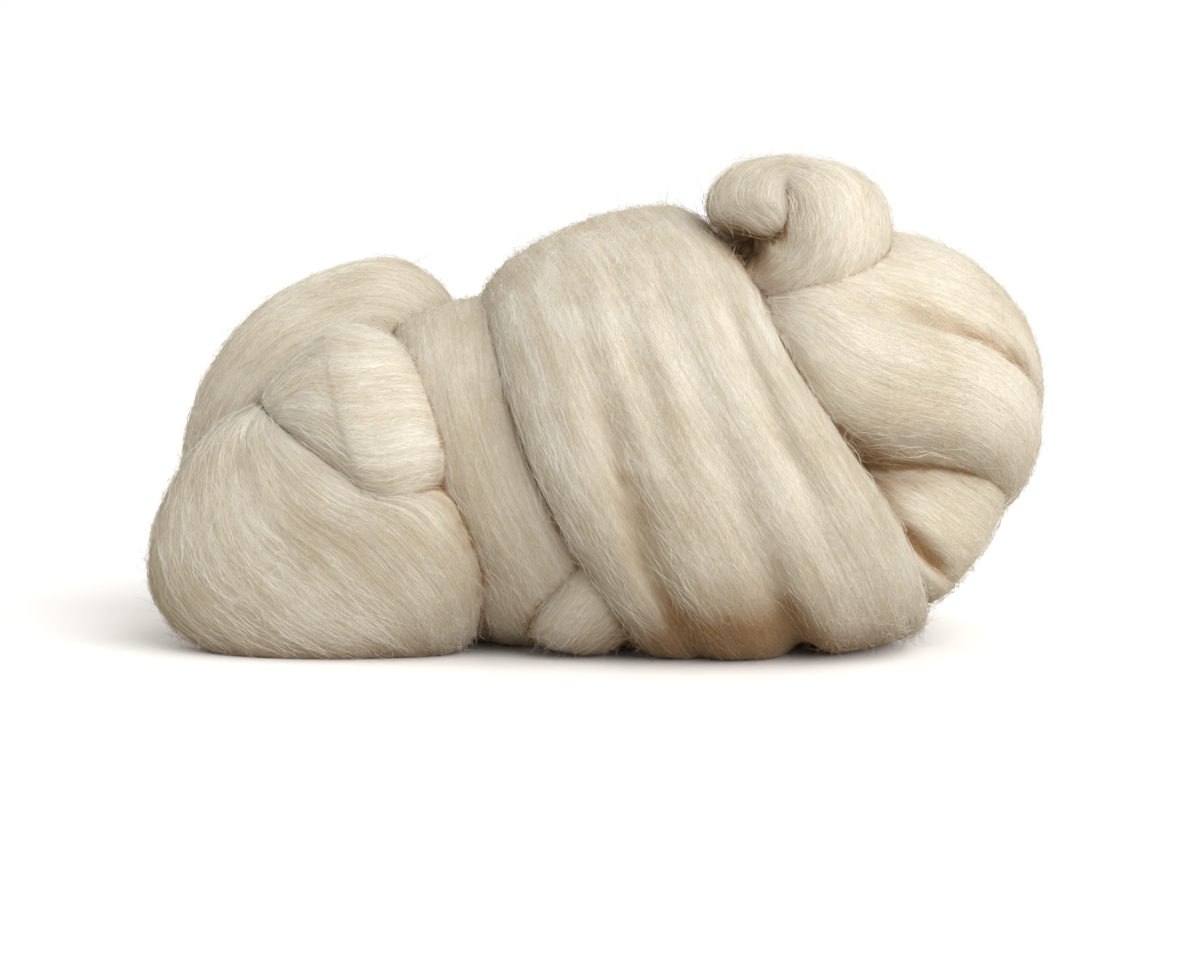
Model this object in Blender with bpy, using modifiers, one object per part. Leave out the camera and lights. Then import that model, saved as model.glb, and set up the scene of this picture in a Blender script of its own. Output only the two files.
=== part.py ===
"""Wool roving: one continuous combed strand, folded and wrapped into a loose bundle.

The bundle lies along X and rests on the floor, z = 0. Its front looks to -Y.
Every fold of the strand is a loft between cross sections. A section is set by
its two edges, the bulge of its outer side (crown) and the bulge of its inner
side (belly). All the folds are merged into one closed body. Lengths in the
tables are millimetres.
"""
import math
from collections import namedtuple

import bmesh
import bpy
import numpy as np

NODE = "wool_roving"
MILLIMETRE = 0.001

# sampling of each fold and finish of the merged body
STATIONS = 96
ROUND_STEPS = 64
MERGE_GRID = 2.2 * MILLIMETRE
SOFTEN_PASSES = 2
SOFTEN_FACTOR = 0.5
BODY_TRIANGLES = 8600
FLAT_SPOT_HEIGHT = 0.7 * MILLIMETRE
ON_PLANE = 0.000001

# the origin sits under the middle of the bundle
CENTRE_X = 0.6 * MILLIMETRE
CENTRE_Y = -1.3 * MILLIMETRE

# a section seen square to the strand: 1 is an ellipse, less is fuller
FULL = 0.8
PLUMP = 0.9
ROUND = 1.0
SNUG = 0.92

# wraps go round the length of the bundle: 0 is the top, 90 the front
Wrap = namedtuple("Wrap", "turn left_x left_radius right_x right_radius crown belly")
# open folds: edge a and edge b are points (x, y, z)
Fold = namedtuple("Fold", "edge_a edge_b crown belly")
# a furrow runs along a wrap; path is (row, share of the width), depth is (row, mm)
Furrow = namedtuple("Furrow", "path depth width")
# the padding inside the folds
Padding = namedtuple("Padding", "centre radii")

DOME_HUB = (50, 64)
DOME = (
    Wrap(0, -34, 46, 32, 58, 16, 10),
    Wrap(22, -33, 48, 37, 58, 16, 10),
    Wrap(45, -29, 50, 45, 59, 17, 10),
    Wrap(68, -24, 54, 54, 59, 17, 10),
    Wrap(90, -16, 57, 69, 60, 15, 10),
    Wrap(112, -3, 59, 84, 62, 13, 10),
    Wrap(135, 9, 59, 93, 62, 11, 10),
    Wrap(158, 16, 55, 95, 60, 7, 8),
    Wrap(180, 13, 50, 93, 58, 3, 6),
    Wrap(215, 5, 54, 88, 58, 8, 8),
    Wrap(270, -8, 54, 74, 58, 14, 10),
    Wrap(315, -22, 49, 48, 59, 16, 10),
)
DOME_FURROWS = (
    Furrow(((1, 0.42), (3, 0.40), (4, 0.36), (5, 0.31), (6, 0.30), (7, 0.32), (9, 0.36), (11, 0.40)),
           ((1, 0), (2.4, 1), (3.5, 3.5), (4.5, 4), (6, 2), (8, 2), (10, 3), (11.5, 0)), 0.045),
    Furrow(((1, 0.60), (3, 0.59), (4, 0.56), (5, 0.53), (6, 0.52), (7, 0.53), (9, 0.55), (11, 0.60)),
           ((0, 0), (1.2, 0.6), (2.5, 1.6), (4, 2), (5, 2.4), (6, 4.5), (7, 6), (9, 4), (11, 1)), 0.04),
    Furrow(((1, 0.52), (3, 0.49), (4, 0.46), (5, 0.41), (6, 0.40), (9, 0.45), (11, 0.50)),
           ((1, 0), (2.3, 1.2), (3, 2.4), (3.7, 1.4), (4.4, 0), (8, 0), (9, 2), (10.5, 0)), 0.03),
    Furrow(((1, 0.78), (3, 0.74), (4, 0.70), (5, 0.67), (6, 0.66), (9, 0.72), (11, 0.78)),
           ((1, 0), (2, 0.6), (3, 2), (4, 2.4), (4.8, 0.8), (5.6, 0), (8, 0), (9, 2), (10.5, 0)), 0.03),
)

WAIST_HUB = (50, 50)
WAIST = (
    Wrap(0, -62, 38, -18, 48, 9, 8),
    Wrap(30, -60, 37, -18, 48, 9, 8),
    Wrap(60, -56, 36, -16, 49, 10, 8),
    Wrap(90, -50, 36, -6, 50, 12, 8),
    Wrap(115, -44, 39, 6, 50, 12, 8),
    Wrap(140, -40, 45, 12, 49, 9, 8),
    Wrap(180, -38, 50, 8, 50, 2, 6),
    Wrap(220, -38, 48, 8, 50, 6, 8),
    Wrap(270, -52, 44, -8, 49, 10, 8),
    Wrap(315, -60, 40, -14, 48, 10, 8),
)

WAIST_RETURN = (
    Fold((13, -46, 52), (30, -42, 44), 4, 8),
    Fold((4, -51, 42), (26, -43, 32), 6, 10),
    Fold((-5, -53, 31), (20, -41, 20), 7, 12),
    Fold((-13, -50, 21), (12, -37, 10), 7, 12),
    Fold((-19, -42, 11), (4, -32, 4), 6, 10),
    Fold((-20, -30, 5), (0, -24, 3), 3, 5),
)

RIGHT_FAN = (
    Fold((44, -44, 98), (48, -28, 108), 4, 10),
    Fold((52, -55, 86), (64, -11, 115), 14, 16),
    Fold((62, -59, 72), (84, -1, 118), 19, 24),
    Fold((76, -57, 65), (102, 6, 112), 21, 30),
    Fold((94, -50, 61), (114, 12, 101), 20, 34),
    Fold((107, -37, 54), (120, 17, 91), 17, 34),
    Fold((113, -18, 44), (121, 23, 80), 14, 32),
    Fold((107, 6, 37), (115, 32, 73), 15, 30),
    Fold((94, 28, 32), (102, 42, 70), 15, 26),
    Fold((74, 38, 30), (80, 48, 74), 13, 22),
    Fold((46, 44, 32), (50, 46, 84), 8, 16),
)
RIGHT_FURROWS = (
    Furrow(((1, 0.42), (2, 0.45), (3, 0.47), (4, 0.49), (5, 0.52), (6, 0.53), (7, 0.53)),
           ((1.0, 0), (2, 2.5), (3, 4), (4, 4.5), (5.2, 4), (7, 0)), 0.025),
    Furrow(((1, 0.22), (2, 0.24), (3, 0.25), (5, 0.25)),
           ((1, 0), (2, 1.2), (3, 1.5), (4, 0.5), (5, 0)), 0.05),
)

RIGHT_LOW = (
    Fold((68, -42, 48), (68, -34, 68), 3, 10),
    Fold((78, -46, 34), (82, -34, 66), 7, 18),
    Fold((86, -43, 24), (97, -32, 63), 9, 24),
    Fold((91, -33, 17), (111, -26, 57), 9, 28),
    Fold((92, -18, 14), (117, -13, 51), 9, 30),
    Fold((89, 0, 12), (113, 8, 48), 9, 30),
    Fold((82, 20, 10), (101, 27, 46), 9, 26),
    Fold((68, 34, 10), (83, 38, 47), 9, 22),
    Fold((46, 40, 12), (52, 44, 46), 6, 14),
)
LOW_FURROWS = (
    Furrow(((1, 0.30), (2, 0.32), (3, 0.32), (4, 0.30)),
           ((1, 0), (1.6, 4), (2.4, 4.5), (3.4, 1), (4, 0)), 0.045),
)

RIGHT_CROWN = (
    Fold((30, -8, 108), (26, 44, 88), 5, 12),
    Fold((52, -6, 115), (50, 46, 92), 8, 14),
    Fold((76, 0, 118), (76, 46, 90), 9, 16),
    Fold((98, 6, 110), (96, 38, 84), 8, 16),
    Fold((112, 12, 98), (110, 28, 80), 5, 12),
    Fold((119, 16, 86), (116, 22, 78), 2, 6),
)

BACK_LOOP = (
    Fold((-49, 54, 62), (-53, 8, 56), 4, 18),
    Fold((-50, 54, 95), (-55, 2, 82), 8, 20),
    Fold((-63, 52, 107), (-66, -6, 89), 11, 24),
    Fold((-83, 50, 103), (-77, -10, 84), 13, 24),
    Fold((-104, 48, 91), (-91, -13, 75), 13, 24),
    Fold((-119, 45, 69), (-103, -12, 60), 12, 24),
    Fold((-123, 42, 42), (-109, -8, 42), 11, 24),
    Fold((-116, 42, 20), (-109, -1, 26), 10, 22),
    Fold((-97, 44, 9), (-95, 2, 12), 8, 20),
    Fold((-70, 47, 8), (-70, 6, 8), 6, 18),
    Fold((-46, 48, 12), (-46, 8, 12), 6, 16),
    Fold((-36, 50, 30), (-36, 8, 30), 7, 14),
    Fold((-38, 50, 52), (-38, 8, 52), 8, 14),
    Fold((-52, 49, 69), (-52, 8, 69), 8, 14),
    Fold((-73, 48, 72), (-73, 8, 72), 8, 14),
    Fold((-89, 46, 58), (-89, 8, 58), 8, 14),
    Fold((-90, 44, 41), (-90, 10, 41), 7, 12),
    Fold((-76, 42, 33), (-76, 12, 33), 6, 10),
    Fold((-62, 40, 40), (-62, 14, 40), 4, 6),
)

FRONT_UPPER = (
    Fold((-55, -4, 74), (-40, -26, 57), 2, 10),
    Fold((-61, -12, 84), (-43, -42, 53), 8, 18),
    Fold((-67, -14, 91), (-50, -52, 49), 14, 24),
    Fold((-74, -13, 93), (-60, -54, 46), 15, 26),
    Fold((-81, -12, 90), (-69, -50, 50), 14, 26),
    Fold((-88, -13, 85), (-79, -45, 57), 11, 22),
    Fold((-94, -18, 78), (-87, -39, 63), 7, 16),
    Fold((-98, -23, 72), (-93, -33, 66), 4, 8),
)

FRONT_LOWER = (
    Fold((-99, -21, 72), (-93, -31, 69), 4, 6),
    Fold((-113, -14, 61), (-86, -38, 64), 10, 18),
    Fold((-125, -12, 46), (-73, -45, 57), 14, 28),
    Fold((-131, -12, 28), (-59, -49, 52), 17, 34),
    Fold((-128, -14, 12), (-46, -51, 50), 18, 36),
    Fold((-116, -18, 2), (-38, -49, 41), 17, 34),
    Fold((-98, -20, -2), (-33, -42, 26), 14, 30),
    Fold((-82, -16, -2), (-36, -30, 9), 9, 20),
    Fold((-72, -8, 2), (-46, -16, 2), 3, 6),
)

KNOB = (
    Fold((40, -26, 105), (41, -34, 110), 4, 8),
    Fold((48, -24, 101), (45, -37, 111), 9, 16),
    Fold((59, -22, 101), (49, -40, 114), 12, 20),
    Fold((70, -20, 106), (53, -41, 119), 14, 24),
    Fold((78, -18, 115), (54, -41, 124), 14, 26),
    Fold((80, -16, 125), (54, -40, 127), 13, 26),
    Fold((73, -15, 132), (54, -40, 130), 12, 26),
    Fold((61, -15, 136), (53, -39, 132), 10, 24),
    Fold((48, -15, 137), (53, -38, 133), 9, 20),
    Fold((38, -17, 135), (53, -38, 132), 9, 18),
    Fold((33, -20, 130), (53, -39, 130), 9, 16),
    Fold((34, -26, 123), (53, -40, 129), 8, 14),
    Fold((42, -33, 123), (53, -40, 128), 5, 10),
    Fold((49, -36, 125), (52, -38, 127), 3, 5),
)
KNOB_TAIL = (
    Fold((30, 40, 96), (70, 40, 93), 3, 10),
    Fold((30, 28, 106), (76, 28, 102), 7, 14),
    Fold((31, 13, 114), (79, 13, 110), 9, 16),
    Fold((33, -1, 119), (78, -1, 116), 9, 16),
    Fold((36, -14, 119), (74, -12, 119), 8, 16),
    Fold((40, -25, 112), (68, -20, 116), 4, 12),
)

PADDINGS = (
    Padding((44, 0, 62), (70, 50, 54)),
    Padding((-30, 2, 48), (50, 42, 42)),
    Padding((-80, 16, 46), (36, 30, 38)),
    Padding((-62, 2, 62), (34, 22, 26)),
)
PADDING_STATIONS = (-0.97, -0.7, 0.0, 0.7, 0.97)

CREAM = (0.80, 0.74, 0.62, 1.0)


def wrap_sections(wraps, hub_heights):
    """Section rows of a closed wrap: both edges lie on circles round X."""
    left_hub, right_hub = hub_heights
    rows = []
    for wrap in wraps:
        turn = math.radians(wrap.turn)
        side, rise = -math.sin(turn), math.cos(turn)
        rows.append((wrap.left_x, wrap.left_radius * side, left_hub + wrap.left_radius * rise,
                     wrap.right_x, wrap.right_radius * side, right_hub + wrap.right_radius * rise,
                     wrap.crown, wrap.belly))
    return rows


def fold_sections(folds):
    """Section rows of an open fold."""
    return [(*fold.edge_a, *fold.edge_b, fold.crown, fold.belly) for fold in folds]


def padding_sections(padding):
    """Section rows that loft to an ellipsoid along X."""
    x, y, z = padding.centre
    long_radius, deep_radius, tall_radius = padding.radii
    rows = []
    for station in PADDING_STATIONS:
        narrowing = math.sqrt(1 - station * station)
        half = tall_radius * narrowing
        along = x + long_radius * station
        depth = deep_radius * narrowing
        rows.append((along, y, z - half, along, y, z + half, depth, depth))
    return rows


def curve_through(rows, count, closed):
    """Catmull-Rom curve through the rows; returns the stations and the values."""
    rows = np.asarray(rows, float)
    total = len(rows)
    span = total if closed else total - 1
    stations = np.linspace(0, span, count, endpoint=not closed)
    if closed:
        padded = np.vstack([rows[-1], rows, rows[:2]])
    else:
        padded = np.vstack([2 * rows[0] - rows[1], rows, 2 * rows[-1] - rows[-2]])
    first = np.minimum(stations.astype(int), span - 1)
    t = (stations - first)[:, None]
    before, start, end, after = (padded[first + k] for k in range(4))
    values = 0.5 * (2 * start + (end - before) * t
                    + (2 * before - 5 * start + 4 * end - after) * t ** 2
                    + (3 * start - before - 3 * end + after) * t ** 3)
    return stations, values


def along_row(pairs, stations, period):
    """Smooth value at each station between (row, value) pairs; a closed wrap has a period."""
    places, values = (list(column) for column in zip(*pairs))
    if period:
        places = [places[-1] - period] + places + [places[0] + period]
        values = [values[-1]] + values + [values[0]]
    else:
        places = [min(places[0], 0) - 1] + places + [max(places[-1], stations[-1]) + 1]
        values = [values[0]] + values + [values[-1]]
    last = len(places) - 2
    index = np.clip(np.searchsorted(places, stations, side="right") - 1, 0, last)
    places, values = np.asarray(places, float), np.asarray(values, float)
    share = (stations - places[index]) / (places[index + 1] - places[index])
    share = share * share * (3 - 2 * share)
    return values[index] + (values[index + 1] - values[index]) * share


def loft(rows, closed=False, fullness=FULL, furrows=()):
    """Points of one fold: a ring of ROUND_STEPS points at each of STATIONS."""
    stations, values = curve_through(rows, STATIONS, closed)
    edge_a, edge_b = values[:, 0:3], values[:, 3:6]
    crown, belly = values[:, 6:7], values[:, 7:8]
    centre, half = (edge_a + edge_b) / 2, (edge_b - edge_a) / 2
    if closed:
        travel = np.roll(centre, -1, 0) - np.roll(centre, 1, 0)
    else:
        travel = np.gradient(centre, axis=0)
    outward = np.cross(travel, half)
    outward /= np.linalg.norm(outward, axis=1, keepdims=True)
    angle = np.arange(ROUND_STEPS) * 2 * math.pi / ROUND_STEPS
    across = np.sign(np.cos(angle)) * np.abs(np.cos(angle)) ** fullness
    lift = np.abs(np.sin(angle)) ** fullness
    outer = np.sin(angle) >= 0
    height = np.where(outer, crown * lift, -belly * lift)
    share = np.where(outer, angle / math.pi, -9.0)
    period = len(rows) if closed else 0
    for furrow in furrows:
        middle = along_row(furrow.path, stations, period)[:, None]
        depth = along_row(furrow.depth, stations, period)[:, None]
        height = height - depth * np.exp(-((share - middle) / furrow.width) ** 2)
    return centre[:, None] - half[:, None] * across[None, :, None] + outward[:, None] * height[..., None]


def skin(points, closed):
    """Vertices and faces of a lofted fold; open ends close on a middle point."""
    count, around, _ = points.shape
    station = np.arange(count if closed else count - 1)[:, None]
    step = np.arange(around)[None, :]
    following = (station + 1) % count
    beside = (step + 1) % around
    quads = np.stack([station * around + step, following * around + step,
                      following * around + beside, station * around + beside], axis=-1)
    vertices = points.reshape(-1, 3).tolist()
    faces = quads.reshape(-1, 4).tolist()
    if not closed:
        start, end = len(vertices), len(vertices) + 1
        vertices += [points[0].mean(0).tolist(), points[-1].mean(0).tolist()]
        last = (count - 1) * around
        for k in range(around):
            nearby = (k + 1) % around
            faces.append([start, k, nearby])
            faces.append([end, last + nearby, last + k])
    return vertices, faces


def bundle_mesh():
    """All the folds in one mesh, still overlapping, nothing below the floor."""
    folds = [
        (loft(wrap_sections(DOME, DOME_HUB), True, SNUG, DOME_FURROWS), True),
        (loft(wrap_sections(WAIST, WAIST_HUB), True, PLUMP), True),
        (loft(fold_sections(RIGHT_FAN), fullness=PLUMP, furrows=RIGHT_FURROWS), False),
        (loft(fold_sections(RIGHT_LOW), fullness=PLUMP, furrows=LOW_FURROWS), False),
        (loft(fold_sections(BACK_LOOP), fullness=PLUMP), False),
        (loft(fold_sections(FRONT_UPPER), fullness=PLUMP), False),
        (loft(fold_sections(KNOB_TAIL), fullness=ROUND), False),
        (loft(fold_sections(WAIST_RETURN), fullness=ROUND), False),
    ]
    for table in (RIGHT_CROWN, FRONT_LOWER, KNOB):
        folds.append((loft(fold_sections(table)), False))
    for padding in PADDINGS:
        folds.append((loft(padding_sections(padding), fullness=ROUND), False))
    vertices, faces = [], []
    for points, closed in folds:
        points = points * MILLIMETRE
        points[..., 2] = np.maximum(points[..., 2], 0.0)
        points[..., 0] -= CENTRE_X
        points[..., 1] -= CENTRE_Y
        own_vertices, own_faces = skin(points, closed)
        offset = len(vertices)
        vertices += own_vertices
        faces += [[offset + index for index in face] for face in own_faces]
    mesh = bpy.data.meshes.new(NODE)
    mesh.from_pydata(vertices, [], faces)
    return mesh


def apply_modifiers(node):
    """Replace the node's mesh by the result of its modifiers."""
    graph = bpy.context.evaluated_depsgraph_get()
    graph.update()
    result = bpy.data.meshes.new_from_object(node.evaluated_get(graph))
    node.modifiers.clear()
    node.data = result


def merge_folds(node):
    """Merge the overlapping folds into one closed surface."""
    remesh = node.modifiers.new("merge", "REMESH")
    remesh.mode = "VOXEL"
    remesh.voxel_size = MERGE_GRID
    apply_modifiers(node)


def keep_outer_surface(node):
    """Keep the largest connected surface; spaces sealed inside are filled."""
    shape = bmesh.new()
    shape.from_mesh(node.data)
    islands, seen = [], set()
    for seed in shape.faces:
        if seed in seen:
            continue
        island, queue = [], [seed]
        seen.add(seed)
        while queue:
            face = queue.pop()
            island.append(face)
            for edge in face.edges:
                for other in edge.link_faces:
                    if other not in seen:
                        seen.add(other)
                        queue.append(other)
        islands.append(island)
    islands.sort(key=len)
    for island in islands[:-1]:
        bmesh.ops.delete(shape, geom=island, context="FACES")
    loose = [vertex for vertex in shape.verts if not vertex.link_faces]
    bmesh.ops.delete(shape, geom=loose, context="VERTS")
    shape.to_mesh(node.data)
    shape.free()


def soften_and_reduce(node):
    """Round off the grid steps and lower the triangle count."""
    soften = node.modifiers.new("soften", "SMOOTH")
    soften.factor = SOFTEN_FACTOR
    soften.iterations = SOFTEN_PASSES
    apply_modifiers(node)
    triangles = sum(len(face.vertices) - 2 for face in node.data.polygons)
    reduce = node.modifiers.new("reduce", "DECIMATE")
    reduce.ratio = BODY_TRIANGLES / triangles
    reduce.use_collapse_triangulate = True
    apply_modifiers(node)


def seat_on_floor(node):
    """Cut the lowest slice off flat, so the bundle rests on flat spots at z = 0."""
    shape = bmesh.new()
    shape.from_mesh(node.data)
    floor = min(vertex.co.z for vertex in shape.verts) + FLAT_SPOT_HEIGHT
    everything = shape.verts[:] + shape.edges[:] + shape.faces[:]
    bmesh.ops.bisect_plane(shape, geom=everything, dist=ON_PLANE, plane_co=(0, 0, floor),
                           plane_no=(0, 0, 1), clear_inner=True)
    rims = [edge for edge in shape.edges if edge.is_boundary]
    bmesh.ops.triangle_fill(shape, edges=rims, use_beauty=True, normal=(0, 0, -1))
    bmesh.ops.translate(shape, verts=shape.verts, vec=(0, 0, -floor))
    bmesh.ops.triangulate(shape, faces=shape.faces)
    bmesh.ops.recalc_face_normals(shape, faces=shape.faces)
    shape.to_mesh(node.data)
    shape.free()
    node.data.shade_flat()


def wool_material():
    """Undyed combed wool."""
    material = bpy.data.materials.new("combed_wool")
    material.use_nodes = True
    shader = material.node_tree.nodes["Principled BSDF"]
    shader.inputs["Base Color"].default_value = CREAM
    shader.inputs["Roughness"].default_value = 0.9
    shader.inputs["Sheen Weight"].default_value = 0.4
    return material


def build():
    """Make the bundle as one named node in its own collection."""
    for item in list(bpy.data.objects):
        bpy.data.objects.remove(item, do_unlink=True)
    home = bpy.data.collections.new(NODE)
    bpy.context.scene.collection.children.link(home)
    node = bpy.data.objects.new(NODE, bundle_mesh())
    home.objects.link(node)
    merge_folds(node)
    keep_outer_surface(node)
    soften_and_reduce(node)
    seat_on_floor(node)
    node.data.name = NODE
    node.data.materials.clear()
    node.data.materials.append(wool_material())


build()
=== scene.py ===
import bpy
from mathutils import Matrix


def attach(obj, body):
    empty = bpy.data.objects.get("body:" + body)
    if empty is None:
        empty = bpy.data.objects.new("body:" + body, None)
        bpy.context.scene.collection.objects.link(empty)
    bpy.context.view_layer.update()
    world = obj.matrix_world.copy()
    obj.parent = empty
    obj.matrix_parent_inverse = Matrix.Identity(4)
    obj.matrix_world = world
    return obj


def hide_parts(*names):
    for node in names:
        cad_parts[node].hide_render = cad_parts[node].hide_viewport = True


bl_info = {
    "name": "Wool Roving",
    "version": (1, 0, 0),
    "blender": (4, 5, 0),
    "location": "3D View > Sidebar > Roving",
    "description": "Folds, combed fibres and loose hair of the wool bundle, and the studio",
    "category": "Add Mesh",
}

import math
from collections import namedtuple

import bpy
import numpy as np
from bpy.props import FloatProperty, FloatVectorProperty, IntProperty, PointerProperty
from mathutils import Vector

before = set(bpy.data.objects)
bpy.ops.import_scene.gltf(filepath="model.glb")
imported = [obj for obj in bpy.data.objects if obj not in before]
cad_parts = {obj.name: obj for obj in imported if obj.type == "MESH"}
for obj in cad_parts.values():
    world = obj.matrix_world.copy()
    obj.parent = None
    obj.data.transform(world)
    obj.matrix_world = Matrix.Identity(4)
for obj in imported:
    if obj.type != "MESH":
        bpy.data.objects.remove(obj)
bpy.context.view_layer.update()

NODE = "wool_roving"
BODY = "root"
MM = 0.001

# the tables below are millimetres from a point this far from the bundle's own middle
CENTRE = np.array((0.6, -1.3, 0.0))

# how full a section is: 1 is an ellipse, less is fuller
FULL, PLUMP, SNUG, ROUND = 0.8, 0.9, 0.92, 1.0

Wrap = namedtuple("Wrap", "turn left_x left_radius right_x right_radius crown belly")
Fold = namedtuple("Fold", "edge_a edge_b crown belly")
Furrow = namedtuple("Furrow", "path depth width")
Padding = namedtuple("Padding", "centre radii")
# one fold of the strand: its section rows, closed or not, fullness, furrows and grid
Strand = namedtuple("Strand", "name rows closed fullness furrows along across seed")
# a strand's finished surface: points, normals and painted shade on its grid
Surface = namedtuple("Surface", "strand points normals shade")

DOME_HUB = (50, 64)
DOME = (
    Wrap(0, -34, 46, 32, 58, 16, 10),
    Wrap(22, -33, 48, 37, 58, 16, 10),
    Wrap(45, -29, 50, 45, 59, 17, 10),
    Wrap(68, -24, 54, 54, 59, 17, 10),
    Wrap(90, -16, 57, 69, 60, 15, 10),
    Wrap(112, -3, 59, 84, 62, 13, 10),
    Wrap(135, 9, 59, 93, 62, 11, 10),
    Wrap(158, 16, 55, 95, 60, 7, 8),
    Wrap(180, 13, 50, 93, 58, 3, 6),
    Wrap(215, 5, 54, 88, 58, 8, 8),
    Wrap(270, -8, 54, 74, 58, 14, 10),
    Wrap(315, -22, 49, 48, 59, 16, 10),
)
DOME_FURROWS = (
    Furrow(((1, 0.42), (3, 0.40), (4, 0.36), (5, 0.31), (6, 0.30), (7, 0.32), (9, 0.36),
            (11, 0.40)),
           ((1, 0), (2.4, 1), (3.5, 3.5), (4.5, 4), (6, 2), (8, 2), (10, 3), (11.5, 0)), 0.045),
    Furrow(((1, 0.60), (3, 0.59), (4, 0.56), (5, 0.53), (6, 0.52), (7, 0.53), (9, 0.55),
            (11, 0.60)),
           ((0, 0), (1.2, 0.6), (2.5, 1.6), (4, 2), (5, 2.4), (6, 4.5), (7, 6),
            (9, 4), (11, 1)), 0.04),
    Furrow(((1, 0.52), (3, 0.49), (4, 0.46), (5, 0.41), (6, 0.40), (9, 0.45), (11, 0.50)),
           ((1, 0), (2.3, 1.2), (3, 2.4), (3.7, 1.4), (4.4, 0), (8, 0), (9, 2), (10.5, 0)), 0.03),
    Furrow(((1, 0.78), (3, 0.74), (4, 0.70), (5, 0.67), (6, 0.66), (9, 0.72), (11, 0.78)),
           ((1, 0), (2, 0.6), (3, 2), (4, 2.4), (4.8, 0.8), (5.6, 0), (8, 0),
            (9, 2), (10.5, 0)), 0.03),
)

WAIST_HUB = (50, 50)
WAIST = (
    Wrap(0, -62, 38, -18, 48, 9, 8),
    Wrap(30, -60, 37, -18, 48, 9, 8),
    Wrap(60, -56, 36, -16, 49, 10, 8),
    Wrap(90, -50, 36, -6, 50, 12, 8),
    Wrap(115, -44, 39, 6, 50, 12, 8),
    Wrap(140, -40, 45, 12, 49, 9, 8),
    Wrap(180, -38, 50, 8, 50, 2, 6),
    Wrap(220, -38, 48, 8, 50, 6, 8),
    Wrap(270, -52, 44, -8, 49, 10, 8),
    Wrap(315, -60, 40, -14, 48, 10, 8),
)

WAIST_RETURN = (
    Fold((13, -46, 52), (30, -42, 44), 4, 8),
    Fold((4, -51, 42), (26, -43, 32), 6, 10),
    Fold((-5, -53, 31), (20, -41, 20), 7, 12),
    Fold((-13, -50, 21), (12, -37, 10), 7, 12),
    Fold((-19, -42, 11), (4, -32, 4), 6, 10),
    Fold((-20, -30, 5), (0, -24, 3), 3, 5),
)

RIGHT_FAN = (
    Fold((44, -44, 98), (48, -28, 108), 4, 10),
    Fold((52, -55, 86), (64, -11, 115), 14, 16),
    Fold((62, -59, 72), (84, -1, 118), 19, 24),
    Fold((76, -57, 65), (102, 6, 112), 21, 30),
    Fold((94, -50, 61), (114, 12, 101), 20, 34),
    Fold((107, -37, 54), (120, 17, 91), 17, 34),
    Fold((113, -18, 44), (121, 23, 80), 14, 32),
    Fold((107, 6, 37), (115, 32, 73), 15, 30),
    Fold((94, 28, 32), (102, 42, 70), 15, 26),
    Fold((74, 38, 30), (80, 48, 74), 13, 22),
    Fold((46, 44, 32), (50, 46, 84), 8, 16),
)
RIGHT_FURROWS = (
    Furrow(((1, 0.42), (2, 0.45), (3, 0.47), (4, 0.49), (5, 0.52), (6, 0.53), (7, 0.53)),
           ((1.0, 0), (2, 2.5), (3, 4), (4, 4.5), (5.2, 4), (7, 0)), 0.025),
    Furrow(((1, 0.22), (2, 0.24), (3, 0.25), (5, 0.25)),
           ((1, 0), (2, 1.2), (3, 1.5), (4, 0.5), (5, 0)), 0.05),
)

RIGHT_LOW = (
    Fold((68, -42, 48), (68, -34, 68), 3, 10),
    Fold((78, -46, 34), (82, -34, 66), 7, 18),
    Fold((86, -43, 24), (97, -32, 63), 9, 24),
    Fold((91, -33, 17), (111, -26, 57), 9, 28),
    Fold((92, -18, 14), (117, -13, 51), 9, 30),
    Fold((89, 0, 12), (113, 8, 48), 9, 30),
    Fold((82, 20, 10), (101, 27, 46), 9, 26),
    Fold((68, 34, 10), (83, 38, 47), 9, 22),
    Fold((46, 40, 12), (52, 44, 46), 6, 14),
)
LOW_FURROWS = (
    Furrow(((1, 0.30), (2, 0.32), (3, 0.32), (4, 0.30)),
           ((1, 0), (1.6, 4), (2.4, 4.5), (3.4, 1), (4, 0)), 0.045),
)

RIGHT_CROWN = (
    Fold((30, -8, 108), (26, 44, 88), 5, 12),
    Fold((52, -6, 115), (50, 46, 92), 8, 14),
    Fold((76, 0, 118), (76, 46, 90), 9, 16),
    Fold((98, 6, 110), (96, 38, 84), 8, 16),
    Fold((112, 12, 98), (110, 28, 80), 5, 12),
    Fold((119, 16, 86), (116, 22, 78), 2, 6),
)

BACK_LOOP = (
    Fold((-49, 54, 62), (-53, 8, 56), 4, 18),
    Fold((-50, 54, 95), (-55, 2, 82), 8, 20),
    Fold((-63, 52, 107), (-66, -6, 89), 11, 24),
    Fold((-83, 50, 103), (-77, -10, 84), 13, 24),
    Fold((-104, 48, 91), (-91, -13, 75), 13, 24),
    Fold((-119, 45, 69), (-103, -12, 60), 12, 24),
    Fold((-123, 42, 42), (-109, -8, 42), 11, 24),
    Fold((-116, 42, 20), (-109, -1, 26), 10, 22),
    Fold((-97, 44, 9), (-95, 2, 12), 8, 20),
    Fold((-70, 47, 8), (-70, 6, 8), 6, 18),
    Fold((-46, 48, 12), (-46, 8, 12), 6, 16),
    Fold((-36, 50, 30), (-36, 8, 30), 7, 14),
    Fold((-38, 50, 52), (-38, 8, 52), 8, 14),
    Fold((-52, 49, 69), (-52, 8, 69), 8, 14),
    Fold((-73, 48, 72), (-73, 8, 72), 8, 14),
    Fold((-89, 46, 58), (-89, 8, 58), 8, 14),
    Fold((-90, 44, 41), (-90, 10, 41), 7, 12),
    Fold((-76, 42, 33), (-76, 12, 33), 6, 10),
    Fold((-62, 40, 40), (-62, 14, 40), 4, 6),
)

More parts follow.
